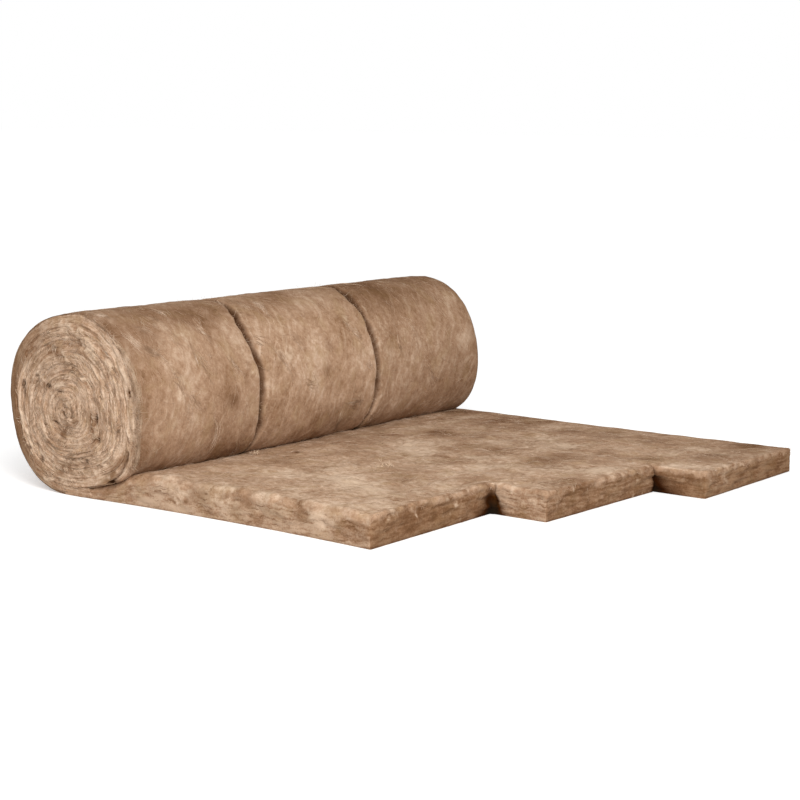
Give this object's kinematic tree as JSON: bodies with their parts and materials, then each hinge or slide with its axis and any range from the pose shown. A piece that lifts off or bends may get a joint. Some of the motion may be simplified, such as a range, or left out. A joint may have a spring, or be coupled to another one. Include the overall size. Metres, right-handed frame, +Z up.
{
  "type": "insulation roll",
  "caption": "Part-cut mineral wool insulation blanket in a roll, its outer end laid out flat with the lanes trimmed in steps.",
  "frame": {"origin": "on the floor, under the middle of the blanket's overall box", "axes": "+Z up from the floor; the roll lies along Y; the laid part runs out of the roll towards +X, with its longest lane on the +Y side"},
  "size_m": [1.163, 1.14, 0.3576],
  "materials": {
    "glass_wool": "matt brown mineral wool, loose fibres, no facing"
  },
  "bodies": {
    "root": {"blanket": "glass_wool"}
  },
  "joints": []
}
